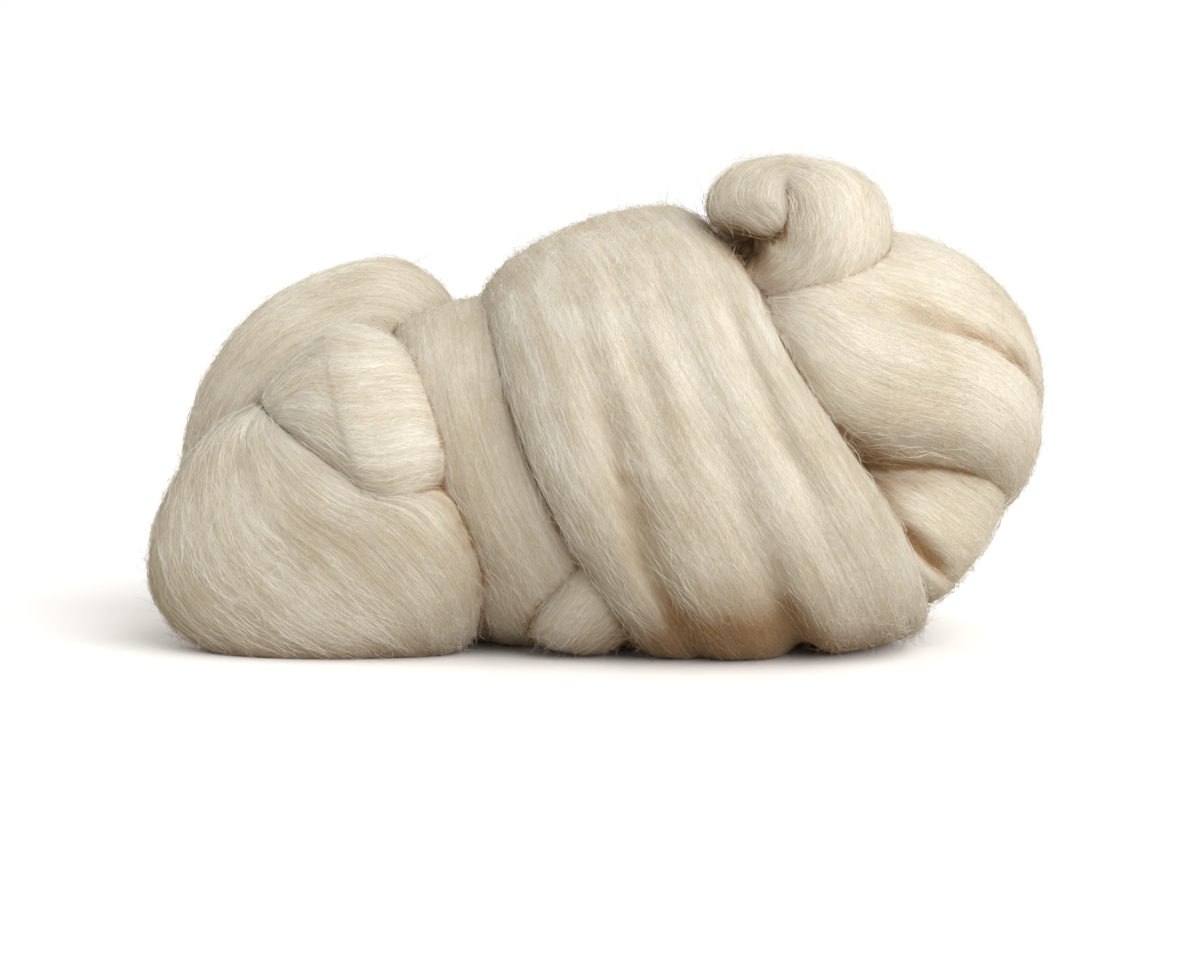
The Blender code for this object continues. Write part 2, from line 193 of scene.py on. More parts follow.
FRONT_UPPER = (
    Fold((-55, -4, 74), (-40, -26, 57), 2, 10),
    Fold((-61, -12, 84), (-43, -42, 53), 8, 18),
    Fold((-67, -14, 91), (-50, -52, 49), 14, 24),
    Fold((-74, -13, 93), (-60, -54, 46), 15, 26),
    Fold((-81, -12, 90), (-69, -50, 50), 14, 26),
    Fold((-88, -13, 85), (-79, -45, 57), 11, 22),
    Fold((-94, -18, 78), (-87, -39, 63), 7, 16),
    Fold((-98, -23, 72), (-93, -33, 66), 4, 8),
)

FRONT_LOWER = (
    Fold((-99, -21, 72), (-93, -31, 69), 4, 6),
    Fold((-113, -14, 61), (-86, -38, 64), 10, 18),
    Fold((-125, -12, 46), (-73, -45, 57), 14, 28),
    Fold((-131, -12, 28), (-59, -49, 52), 17, 34),
    Fold((-128, -14, 12), (-46, -51, 50), 18, 36),
    Fold((-116, -18, 2), (-38, -49, 41), 17, 34),
    Fold((-98, -20, -2), (-33, -42, 26), 14, 30),
    Fold((-82, -16, -2), (-36, -30, 9), 9, 20),
    Fold((-72, -8, 2), (-46, -16, 2), 3, 6),
)

KNOB = (
    Fold((40, -26, 105), (41, -34, 110), 4, 8),
    Fold((48, -24, 101), (45, -37, 111), 9, 16),
    Fold((59, -22, 101), (49, -40, 114), 12, 20),
    Fold((70, -20, 106), (53, -41, 119), 14, 24),
    Fold((78, -18, 115), (54, -41, 124), 14, 26),
    Fold((80, -16, 125), (54, -40, 127), 13, 26),
    Fold((73, -15, 132), (54, -40, 130), 12, 26),
    Fold((61, -15, 136), (53, -39, 132), 10, 24),
    Fold((48, -15, 137), (53, -38, 133), 9, 20),
    Fold((38, -17, 135), (53, -38, 132), 9, 18),
    Fold((33, -20, 130), (53, -39, 130), 9, 16),
    Fold((34, -26, 123), (53, -40, 129), 8, 14),
    Fold((42, -33, 123), (53, -40, 128), 5, 10),
    Fold((49, -36, 125), (52, -38, 127), 3, 5),
)
KNOB_TAIL = (
    Fold((30, 40, 96), (70, 40, 93), 3, 10),
    Fold((30, 28, 106), (76, 28, 102), 7, 14),
    Fold((31, 13, 114), (79, 13, 110), 9, 16),
    Fold((33, -1, 119), (78, -1, 116), 9, 16),
    Fold((36, -14, 119), (74, -12, 119), 8, 16),
    Fold((40, -25, 112), (68, -20, 116), 4, 12),
)

PADDINGS = (
    Padding((44, 0, 62), (70, 50, 54)),
    Padding((-30, 2, 48), (50, 42, 42)),
    Padding((-80, 16, 46), (36, 30, 38)),
    Padding((-62, 2, 62), (34, 22, 26)),
)
PADDING_STATIONS = (-0.97, -0.7, 0.0, 0.7, 0.97)

# ridges raised on every fold: (size across, length along, height), millimetres
LOCKS = ((16.0, 60.0, 0.25), (5.0, 26.0, 0.24))
LOCK_SEED = 11
# an open fold's ridges fade out at each end, over one part in this many of its length
TAPER_PARTS = 12
# streaks of paler and warmer wool: (size across, length along, share of the tone), millimetres
TONE_STREAKS = ((7.0, 50.0, 0.3), (2.4, 28.0, 0.5))
TONE_SEED = 70
# folds whose streaks are stronger or fainter than the others'
STREAK_GAIN = {"front_lower_lobe": 1.7, "dome_wrap": 1.4, "right_fan": 0.7,
               "right_low_fold": 0.75}
# ridges and streaks sway across the fold by this many of their widths, over so many cells
SWAY, SWAY_CELLS = 1.6, 5
# lowest height of a fold's surface, millimetres
LOWEST = 0.15
# a place across the fold that no furrow reaches
NOWHERE = -9.0

# painted shade: nearby folds shade the wool from as far as this, and the floor up to about this
# height
SHADE_REACH = 26 * MM
SHADE_SOFT = 2.0 * MM
FLOOR_SHADE_HEIGHT = 9 * MM
FLOOR_SHADE = 0.16
# painted shade under the dome, where the wool is in its own shade: middle and half width along x,
# and share
DARK_BASE = (0.037, 0.024, 0.9)
# wool this far below the solid is in full painted shade, from this share of the depth on
BURIED_DEPTH = 2.5 * MM
BURIED_START = 0.15
# painted shade for each millimetre that a furrow sinks
FURROW_SHADE = 0.028

# fibre roots: the grid that tells which part of a fold shows, and how deep is covered
COARSE_ALONG, COARSE_ROUND = 48, 36
COVERED_DEPTH = 2.2 * MM
# share of the roots on the back, falling from where normals turn this far from the front,
# and on the underside, where they point lower than this
BACK_SHARE, BACK_START = 0.45, 0.3
UNDER_SHARE, UNDER_NORMAL = 0.25, -0.85
# roots start at this height and are all there this much higher; hair is denser below LOW_BAND
ROOT_START, ROOT_RISE = 1 * MM, 4 * MM
LOW_BAND = 12 * MM
HAIR_NEAR_FLOOR = 2.5

# points of a spine, and sides round it
SPINE, HAIR_SPINE, FUZZ_SPINE = 6, 6, 4
SIDES = 3
# a fibre's cell in the bake map is this many times as tall as wide, with a margin
CELL_HEIGHT, CELL_MARGIN = 6, 0.1
# how far a fibre's own tone strays from its streak's
OWN_SHARE = 0.22
FLOOR_CLEARANCE = 0.5 * MM
# a fibre that dips below the solid by less than this is lifted back over it
BRIDGE_DEPTH = 1.2 * MM
BRIDGE_HEIGHT = 0.15 * MM
# random phases of waves and curls lie below this
ANY_PHASE = 6.28

# combed fibres: range of length and thickness, as shares of the mean
FIBRE_LENGTHS, FIBRE_THICKNESSES = (0.55, 1.35), (0.7, 1.35)
# slope across the fold, and the part of the fibres that stray with a slope of their own
FIBRE_SLOPE = 0.13
STRAY_PART, STRAY_SLOPE = 0.18, 0.4
WAVE_HEIGHT, WAVE_TURNS = 0.45 * MM, (5, 12)
# height off the surface: of all points, least, of the arched middle and uneven
FLOAT_OFF, LEAST_FLOAT, ARCH, JITTER = 0.18 * MM, 0.03 * MM, 0.25 * MM, 0.06 * MM
# the part of the fibres with one end lifted, and how far
LIFTED_PART, END_LIFT = 0.22, 1.3 * MM
# a grid cell counts as at least this long and wide
LEAST_ROW, LEAST_STEP = 0.25 * MM, 0.12 * MM

# loose hairs: range of length and thickness, as shares of the mean
HAIR_LENGTHS, HAIR_THICKNESSES = (0.3, 1.5), (0.5, 0.95)
# how evenly hairs stand off, the arch of the middle, and size, turns and rise of the curl
STAND_SHAPE = 1.6
HAIR_ARCH = 0.12
CURL, CURL_TURNS, CURL_RISE = 0.16, (1.5, 7.0), 0.25

# points worked out at once against every face of the solid
SHADE_CHUNK, NEAREST_CHUNK = 400, 1500


# --- sizes and colours a user would change ---------------------------------


def length_setting(name, description, default, least=0.0):
    """A setting that is a distance."""
    return FloatProperty(name=name, description=description, default=default, min=least,
                         subtype="DISTANCE", unit="LENGTH")


def colour_setting(name, description, default):
    """A setting that is a colour."""
    return FloatVectorProperty(name=name, description=description, default=default, size=3,
                               min=0.0, max=1.0, subtype="COLOR")


def count_setting(name, description, default):
    """A setting that is a number of things."""
    return IntProperty(name=name, description=description, default=default, min=0)


class RovingWool(bpy.types.PropertyGroup):
    """Sizes and colours of the wool."""

    fibre_count: count_setting("Fibres", "Combed fibres laid over the folds", 15000)
    fibre_length: length_setting(
        "Fibre length", "Mean length of a combed fibre", 12 * MM, 2 * MM)
    fibre_radius: length_setting(
        "Fibre radius", "Radius of a fibre at its middle", 0.078 * MM, 0.01 * MM)
    hair_radius: length_setting(
        "Loose hair radius", "Radius of a loose hair at its middle", 0.056 * MM, 0.01 * MM)
    hair_count: count_setting("Loose hairs", "Hairs that stand off the bundle", 3600)
    fuzz_count: count_setting("Fuzz", "Short fine hairs all over the folds", 30000)
    fuzz_length: length_setting("Fuzz length", "Mean length of a fuzz hair", 3.6 * MM, 1 * MM)
    fuzz_lift: length_setting(
        "Fuzz lift", "How far the tip of a fuzz hair stands off", 1.2 * MM)
    hair_length: length_setting(
        "Loose hair length", "Mean length of a loose hair", 9 * MM, 1 * MM)
    hair_lift: length_setting(
        "Loose hair lift", "How far the tip of a loose hair stands off", 2.6 * MM)
    pale: colour_setting("Pale wool", "Colour of the cleanest fibres", (0.93, 0.915, 0.855))
    # also painted shade: the gaps between hair strokes on the folds take this colour
    warm: colour_setting("Warm wool", "Colour of the yellower fibres, and painted shade between hair strokes", (0.65, 0.565, 0.42))
    # painted shade: the brown the wool is given in creases and low down, where little light gets
    # in
    deep: colour_setting("Crease shade", "Painted shade colour down in the creases", (0.42, 0.25, 0.11))


class RovingStudio(bpy.types.PropertyGroup):
    """The floor, the lights and the camera."""

    floor_size: length_setting("Floor size", "Side of the square floor", 8.0, 1.0)
    key_power: FloatProperty(
        name="Key light", description="Strength of the broad light above",
        default=1.98, min=0.0)
    fill_power: FloatProperty(
        name="Fill light", description="Power of the light in front",
        default=3.2, min=0.0, unit="POWER")
    sky: FloatProperty(
        name="Surround", description="Strength of the white surround on the wool",
        default=0.66, min=0.0)
    lens: FloatProperty(
        name="Lens", description="Focal length of the camera",
        default=85.0, min=10.0, subtype="DISTANCE_CAMERA")
    distance: length_setting(
        "Camera distance", "From the camera to the middle of the bundle", 0.85, 0.1)
    elevation: FloatProperty(
        name="Camera elevation", description="Angle of the camera above the floor",
        default=math.radians(6.0), subtype="ANGLE", unit="ROTATION")


# --- the shape of a fold ----------------------------------------------------


def wrap_sections(wraps, hub_heights):
    """Section rows of a closed wrap: each edge is hub + radius * (-sin, cos) of its turn."""
    left_hub, right_hub = hub_heights
    rows = []
    for wrap in wraps:
        turn = math.radians(wrap.turn)
        side, rise = -math.sin(turn), math.cos(turn)
        rows.append((wrap.left_x, wrap.left_radius * side, left_hub + wrap.left_radius * rise,
                     wrap.right_x, wrap.right_radius * side,
                     right_hub + wrap.right_radius * rise, wrap.crown, wrap.belly))
    return rows


def fold_sections(folds):
    """Section rows of an open fold."""
    return [(*fold.edge_a, *fold.edge_b, fold.crown, fold.belly) for fold in folds]


def padding_sections(padding):
    """Section rows that loft to an ellipsoid: radii narrow by sqrt(1 - station squared)."""
    x, y, z = padding.centre
    long_radius, deep_radius, tall_radius = padding.radii
    rows = []
    for station in PADDING_STATIONS:
        narrowing = math.sqrt(1 - station * station)
        half, depth = tall_radius * narrowing, deep_radius * narrowing
        along = x + long_radius * station
        rows.append((along, y, z - half, along, y, z + half, depth, depth))
    return rows


def curve_through(rows, count, closed):
    """Catmull-Rom curve through the rows, sampled at evenly spaced stations."""
    rows = np.asarray(rows, float)
    total = len(rows)
    span = total if closed else total - 1
    stations = np.linspace(0, span, count, endpoint=not closed)
    if closed:
        padded = np.vstack([rows[-1], rows, rows[:2]])
    else:
        padded = np.vstack([2 * rows[0] - rows[1], rows, 2 * rows[-1] - rows[-2]])
    first = np.minimum(stations.astype(int), span - 1)
    t = (stations - first)[:, None]
    before, start, end, after = (padded[first + k] for k in range(4))
    values = 0.5 * (2 * start + (end - before) * t
                    + (2 * before - 5 * start + 4 * end - after) * t ** 2
                    + (3 * start - before - 3 * end + after) * t ** 3)
    return stations, values


def eased(share):
    """Smoothstep of a share from 0 to 1."""
    return share * share * (3 - 2 * share)


def along_row(pairs, stations, period):
    """Smoothstep between (row, value) pairs at each station; a closed wrap has a period."""
    places, values = (list(column) for column in zip(*pairs))
    if period:
        places = [places[-1] - period] + places + [places[0] + period]
        values = [values[-1]] + values + [values[0]]
    else:
        places = [min(places[0], 0) - 1] + places + [max(places[-1], stations[-1]) + 1]
        values = [values[0]] + values + [values[-1]]
    last = len(places) - 2
    index = np.clip(np.searchsorted(places, stations, side="right") - 1, 0, last)
    places, values = np.asarray(places, float), np.asarray(values, float)
    share = eased((stations - places[index]) / (places[index + 1] - places[index]))
    return values[index] + (values[index + 1] - values[index]) * share


def ripple(rng, along, across, cells_along, cells_across, closed):
    """Smooth random ridges in -1 to 1: a lattice of random heights, blended by smoothstep.

    along and across run from 0 to 1 over the fold; the lattice wraps round the section,
    and round the length too where the fold is closed.
    """
    lattice = rng.uniform(-1, 1, (cells_along + 1, cells_across))
    if closed:
        lattice[-1] = lattice[0]
    u = np.clip(along, 0, 1) * cells_along
    i = np.minimum(u.astype(int), cells_along - 1)
    v = across * cells_across
    j = np.floor(v).astype(int)
    fu, fv = eased(u - i), eased(v - j)
    j, k = j % cells_across, (j + 1) % cells_across
    low = lattice[i, j] * (1 - fv) + lattice[i, k] * fv
    high = lattice[i + 1, j] * (1 - fv) + lattice[i + 1, k] * fv
    return low * (1 - fu) + high * fu


def ripples(rng, along, around, extents, layers, closed):
    """Sum of ripples, one for each (size across, length along, height), each swaying."""
    length, girth = extents
    total = 0
    for width, reach, height in layers:
        cells_along = max(2, int(length / reach))
        cells_across = max(4, int(girth / width))
        sway = ripple(rng, along, around, cells_along, SWAY_CELLS, closed) * SWAY * width / girth
        total = total + height * ripple(rng, along, around + sway, cells_along,
                                        cells_across, closed)
    return total


def unit(vectors):
    """The vectors at length 1."""
    return vectors / np.maximum(np.linalg.norm(vectors, axis=-1, keepdims=True), 1e-9)


def run_along(points, closed):
    """Differences from row to row: over two rows where closed, and half that where open."""
    if closed:
        return np.roll(points, -1, 0) - np.roll(points, 1, 0)
    return np.gradient(points, axis=0)


def slopes(points, closed):
    """Differences along and round the grid, and the outward unit normals between them."""
    travel = run_along(points, closed)
    turn = np.roll(points, -1, 1) - np.roll(points, 1, 1)
    return travel, turn, unit(np.cross(travel, turn))


def extent(points, closed):
    """Length and girth of a grid. Of an open fold only half the length is counted."""
    travel, turn, _ = slopes(points, closed)
    return (np.linalg.norm(travel, axis=2).mean(1).sum() / 2,
            np.linalg.norm(turn, axis=2).mean(0).sum() / 2)


def hidden_sky(points, normals, sides):
    """How much of what is over each point nearby folds and the floor hide, from 0 to 1: the shade
    painted into the wool's colour.

    Each face of the solid that looks towards the point adds
    area * cos * cos / (pi * distance**2), fading out with distance. A point below the
    solid is in a crease and is shaded by its depth. DARK_BASE is a dark patch painted
    under the dome.
    """
    middles, outward, areas = sides
    hidden = np.zeros(len(points))
    squares = (middles ** 2).sum(1)
    levels = (middles * outward).sum(1)
    for start in range(0, len(points), SHADE_CHUNK):
        chunk = slice(start, start + SHADE_CHUNK)
        part, up = points[chunk].astype(np.float32), normals[chunk].astype(np.float32)
        square = (part ** 2).sum(1)[:, None] + squares[None] - 2 * part @ middles.T
        above = up @ middles.T - (up * part).sum(1)[:, None]
        facing = part @ outward.T - levels[None]
        seen = (np.maximum(above, 0) * np.maximum(facing, 0)
                / (np.maximum(square, 0) + SHADE_SOFT ** 2) ** 2)
        near = np.maximum(1 - square / SHADE_REACH ** 2, 0)
        depth = -facing[np.arange(len(part)), square.argmin(1)]
        hidden[chunk] = ((seen * near) @ areas / math.pi
                         + np.clip(depth / BURIED_DEPTH - BURIED_START, 0, 1))
    middle, width, share = DARK_BASE
    floor_share = FLOOR_SHADE + share * np.exp(-((points[:, 0] - middle) / width) ** 2)
    below = floor_share * (1 - normals[:, 2]) * np.exp(-points[:, 2] / FLOOR_SHADE_HEIGHT)
    return np.clip(hidden + below, 0, 1)


def fold_surface(strand, sides):
    """The surface of one fold on a grid of station and angle.

    Between edges A and B with outward direction N a point is
    centre - half * c(angle) + N * height * s(angle), where c and s are cos and sin raised
    to the fold's fullness, and height is the crown outside and the belly inside.
    Furrows sink the crown by a bell curve, and the locks then raise long ridges along
    the surface's own normal.
    """
    stations, values = curve_through(strand.rows, strand.along, strand.closed)
    edge_a, edge_b = values[:, 0:3], values[:, 3:6]
    crown, belly = values[:, 6:7], values[:, 7:8]
    centre, half = (edge_a + edge_b) / 2, (edge_b - edge_a) / 2
    outward = unit(np.cross(run_along(centre, strand.closed), half))
    # two thirds of the angles go to the crown, which shows
    outer = strand.across * 2 // 3
    angle = np.concatenate([
        np.linspace(0, math.pi, outer, endpoint=False),
        np.linspace(math.pi, 2 * math.pi, strand.across - outer, endpoint=False)])
    across = np.sign(np.cos(angle)) * np.abs(np.cos(angle)) ** strand.fullness
    lift = np.abs(np.sin(angle)) ** strand.fullness
    height = np.where(np.sin(angle) >= 0, crown * lift, -belly * lift)
    share = np.where(np.sin(angle) >= 0, angle / math.pi, NOWHERE)
    period = len(strand.rows) if strand.closed else 0
    sunk = np.zeros((strand.along, strand.across))
    for furrow in strand.furrows:
        middle = along_row(furrow.path, stations, period)[:, None]
        depth = along_row(furrow.depth, stations, period)[:, None]
        sunk = sunk + depth * np.exp(-((share - middle) / furrow.width) ** 2)
    points = (centre[:, None] - half[:, None] * across[None, :, None]
              + outward[:, None] * (height - sunk)[..., None])
    points = points + raised_locks(strand, points)
    points[..., 2] = np.maximum(points[..., 2], LOWEST)
    points = (points - CENTRE) * MM
    normals = slopes(points, strand.closed)[2]
    # painted shade: how much nearby folds, the floor and sunk furrows darken the wool's colour
    shade = hidden_sky(points.reshape(-1, 3), normals.reshape(-1, 3), sides)
    shade = np.clip(shade.reshape(sunk.shape) + FURROW_SHADE * sunk, 0, 1)
    return Surface(strand, points, normals, shade)


def raised_locks(strand, points):
    """Offsets along the normals that raise the locks."""
    _, turn, normal = slopes(points, strand.closed)
    along = np.linspace(0, 1, len(points), endpoint=not strand.closed)[:, None]
    along = along + np.zeros(points.shape[:2])
    around = np.cumsum(np.linalg.norm(turn, axis=2), axis=1)
    around = around / around[:, -1:]
    rng = np.random.default_rng(LOCK_SEED + strand.seed)
    offset = ripples(rng, along, around, extent(points, strand.closed), LOCKS, strand.closed)
    if not strand.closed:
        offset = offset * np.minimum(1, np.minimum(along, 1 - along) * TAPER_PARTS)
    return normal * offset[..., None]


def all_strands():
    """Every fold of the bundle, with the grid it is worked out on."""
    def open_fold(name, table, along, across, seed, fullness=FULL, furrows=()):
        return Strand(name, fold_sections(table), False, fullness, furrows, along, across, seed)

    dome, waist = wrap_sections(DOME, DOME_HUB), wrap_sections(WAIST, WAIST_HUB)
    return [
        Strand("dome_wrap", dome, True, SNUG, DOME_FURROWS, 100, 150, 1),
        Strand("waist_wrap", waist, True, PLUMP, (), 80, 90, 2),
        open_fold("waist_return", WAIST_RETURN, 30, 48, 3, ROUND),
        open_fold("right_fan", RIGHT_FAN, 84, 129, 4, PLUMP, RIGHT_FURROWS),
        open_fold("right_low_fold", RIGHT_LOW, 64, 81, 5, PLUMP, LOW_FURROWS),
        open_fold("right_crown_fold", RIGHT_CROWN, 36, 54, 6),
        open_fold("back_loop", BACK_LOOP, 110, 90, 9, PLUMP),
        open_fold("front_upper_lobe", FRONT_UPPER, 54, 90, 10, PLUMP),
        open_fold("front_lower_lobe", FRONT_LOWER, 74, 117, 11),
        open_fold("knob", KNOB, 80, 84, 12),
        open_fold("knob_tail", KNOB_TAIL, 30, 45, 13, ROUND),
    ] + [
        Strand(f"padding_{index + 1}", padding_sections(padding), False, ROUND, (), 18, 24,
               20 + index) for index, padding in enumerate(PADDINGS)]


# --- meshes from arrays -----------------------------------------------------


def mesh_from_arrays(name, points, corners, sizes, maps, tint, shade):
    """A mesh from points, face corners, face sizes, (name, uv per corner) maps and values."""
    mesh = bpy.data.meshes.new(name)
    mesh.vertices.add(len(points))
    mesh.vertices.foreach_set("co", np.ascontiguousarray(points, np.float32).ravel())
    mesh.loops.add(len(corners))
    mesh.loops.foreach_set("vertex_index", np.ascontiguousarray(corners, np.int32))
    starts = np.concatenate([[0], np.cumsum(sizes)[:-1]]).astype(np.int32)
    mesh.polygons.add(len(sizes))
    mesh.polygons.foreach_set("loop_start", starts)
    for map_name, places in maps:
        layer = mesh.uv_layers.new(name=map_name)
        layer.uv.foreach_set("vector", np.ascontiguousarray(places, np.float32).ravel())
    for value_name, values in (("tint", tint), ("shade", shade)):
        layer = mesh.attributes.new(value_name, "FLOAT", "POINT")
        layer.data.foreach_set("value", np.ascontiguousarray(values, np.float32))
    mesh.update(calc_edges=True)
    mesh.validate()
    mesh.shade_smooth()
    return mesh


def place_object(name, data, place=(0, 0, 0), towards=None):
    """Put an object in the scene. A light or camera looks towards a direction."""
    thing = bpy.data.objects.new(name, data)
    thing.location = place
    if towards is not None:
        thing.rotation_mode = "QUATERNION"
        thing.rotation_quaternion = towards.to_track_quat("-Z", "Y")
    bpy.context.scene.collection.objects.link(thing)
    return thing


def add_piece(name, mesh, material):
    """Put a mesh in the scene as a piece that stands for the bundle's solid."""
    piece = place_object(name, mesh)
    mesh.materials.append(material)
    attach(piece, BODY)
    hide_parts(NODE)
    return piece


def grid_cells(surface):
    """Cells along and round a surface's grid."""
    count, steps, _ = surface.points.shape
    return (count if surface.strand.closed else count - 1), steps


def streak_tone(surface, along, around):
    """Tone about 0.5 at fractional grid places: long narrow ripples that follow the fold."""
    rows, steps = grid_cells(surface)
    closed = surface.strand.closed
    length, girth = extent(surface.points, closed)
    share = (np.mod(along, rows) if closed else along) / rows
    rng = np.random.default_rng(TONE_SEED + surface.strand.seed)
    gain = STREAK_GAIN.get(surface.strand.name, 1.0)
    layers = [(width, reach, 0.5 * part * gain) for width, reach, part in TONE_STREAKS]
    return 0.5 + ripples(rng, share, around / steps, (length / MM, girth / MM), layers, closed)


def corner_places(*places):
    """A row of (u, v) for every corner of every face, from the arrays u and v of each corner."""
    return np.stack([np.stack(place, -1) for place in places], axis=-2).reshape(-1, 2)


def surface_mesh(surface):
    """Quads over the grid; an open fold's ends close on a middle point.

    The map "grain" runs along and round the fold in metres, half of that along an open
    fold, and the map "OFBake" covers 0 to 1 once. Both start at the lowest station of a
    closed fold, so the seam lies under the bundle.
    """
    points, shade = surface.points, surface.shade
    closed = surface.strand.closed
    count = len(points)
    rows, around = grid_cells(surface)
    station, step = np.meshgrid(np.arange(rows), np.arange(around), indexing="ij")
    following, beside = (station + 1) % count, (step + 1) % around
    corners = np.stack([station * around + step, following * around + step,
                        following * around + beside, station * around + beside], -1).ravel()
    low = int(points[..., 2].mean(1).argmin()) if closed else 0
    u, v = ((station - low) % count) / rows, step / around
    du, dv = 1 / rows, 1 / around
    flat = corner_places((u, v), (u + du, v), (u + du, v + dv), (u, v + dv))
    sizes = np.full(rows * around, 4)
    vertices, shades = points.reshape(-1, 3), shade.reshape(-1)
    place = np.meshgrid(np.arange(count), np.arange(around), indexing="ij")
    tone = streak_tone(surface, *place).reshape(-1)
    if not closed:
        start, last = len(vertices), rows * around
        ring = np.arange(around)
        nearby = (ring + 1) % around
        caps = np.array([(start + 0 * ring, ring, nearby),
                         (start + 1 + 0 * ring, last + nearby, last + ring)])
        side, near, far = ring / around, np.zeros(around), np.ones(around)
        vertices = np.concatenate([vertices, [points[0].mean(0), points[-1].mean(0)]])
        shades = np.append(shades, [shade[0].mean(), shade[-1].mean()])
        tone = np.append(tone, [0.5, 0.5])
        corners = np.concatenate([corners, caps.transpose(0, 2, 1).ravel()])
        flat = np.concatenate([flat, corner_places((near, side), (near, side), (near, side + dv)),
                               corner_places((far, side), (far, side + dv), (far, side))])
        sizes = np.concatenate([sizes, np.full(2 * around, 3)])
    grain = flat * extent(points, closed)
    return mesh_from_arrays(surface.strand.name, vertices, corners, sizes,
                            [("OFBake", flat), ("grain", grain)], tone, shades)


# --- fibres -----------------------------------------------------------------


def solid_sides():
    """Middle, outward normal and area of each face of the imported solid."""
    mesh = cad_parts[NODE].data
    values = []
    for field, width in (("center", 3), ("normal", 3), ("area", 1)):
        values.append(np.zeros(len(mesh.polygons) * width, np.float32))
        mesh.polygons.foreach_get(field, values[-1])
    middles, normals, areas = values
    return middles.reshape(-1, 3), normals.reshape(-1, 3), areas


def against_solid(points, sides):
    """How far each point stands out of its nearest face of the solid, and its normal."""
    middles, normals, _ = sides
    nearest = np.zeros(len(points), int)
    squares = (middles ** 2).sum(1)
    for start in range(0, len(points), NEAREST_CHUNK):
        chunk = slice(start, start + NEAREST_CHUNK)
        part = points[chunk].astype(np.float32)
        nearest[chunk] = (squares[None] - 2 * part @ middles.T).argmin(1)
    return ((points - middles[nearest]) * normals[nearest]).sum(1), normals[nearest]


def lift_over_creases(spine, sides):
    """Bring points a little below the solid back out to its surface, to bridge creases."""
    points = spine.reshape(-1, 3)
    height, outward = against_solid(points, sides)
    dipped = (height < BRIDGE_HEIGHT) & (height > -BRIDGE_DEPTH)
    rise = np.where(dipped, BRIDGE_HEIGHT - height, 0)
    return (points + outward * rise[:, None]).reshape(spine.shape)


def on_grid(surface, along, around):
    """Points, normals and shade at fractional grid places, blended from the four nearest."""
    count, steps, _ = surface.points.shape
    if surface.strand.closed:
        along = np.mod(along, count)
    else:
        along = np.clip(along, 0, count - 1.001)
    around = np.mod(around, steps)
    i, j = np.floor(along).astype(int), np.floor(around).astype(int)
    fu, fv = (along - i)[..., None], (around - j)[..., None]
    i, j = i % count, j % steps
    i2, j2 = (i + 1) % count, (j + 1) % steps
    return [(grid[i, j] * (1 - fv) + grid[i, j2] * fv) * (1 - fu)
            + (grid[i2, j] * (1 - fv) + grid[i2, j2] * fv) * fu
            for grid in (surface.points, surface.normals, surface.shade[..., None])]


def rooting(surface, sides, near_floor=0.0):
    """Coarse cells of a fold that show, with their weight.

    The weight is the area, less behind and under the bundle; near_floor adds to the
    weight of the lowest cells.
    """
    rows, steps = grid_cells(surface)
    along, around = np.meshgrid((np.arange(COARSE_ALONG) + 0.5) * rows / COARSE_ALONG,
                                (np.arange(COARSE_ROUND) + 0.5) * steps / COARSE_ROUND,
                                indexing="ij")
    points, normals, _ = on_grid(surface, along, around)
    area = np.linalg.norm(np.cross(np.gradient(points, axis=0),
                                   np.gradient(points, axis=1)), axis=2)
    height = against_solid(points.reshape(-1, 3), sides)[0].reshape(area.shape)
    facing = 1 - (1 - BACK_SHARE) * np.clip(normals[..., 1] + BACK_START, 0, 1)
    above = np.clip((points[..., 2] - ROOT_START) / ROOT_RISE, 0, 1)
    under = np.where(normals[..., 2] < UNDER_NORMAL, UNDER_SHARE, 1.0)
    low = 1 + near_floor * np.clip(1 - points[..., 2] / LOW_BAND, 0, 1)
    weight = np.where(height > -COVERED_DEPTH, area * facing * above * under * low, 0)
    return along, around, weight


def pick_roots(surface, sides, count, rng, near_floor=0.0):
    """Random grid places on the parts of a fold that show, or None where nothing does."""
    along, around, weight = rooting(surface, sides, near_floor)
    if weight.sum() <= 0 or count < 1:
        return None
    rows, steps = grid_cells(surface)
    pick = rng.choice(weight.size, count, p=(weight / weight.sum()).ravel())
    root_u = along.ravel()[pick] + rng.uniform(-0.5, 0.5, count) * rows / COARSE_ALONG
    root_v = around.ravel()[pick] + rng.uniform(-0.5, 0.5, count) * steps / COARSE_ROUND
    return root_u, root_v


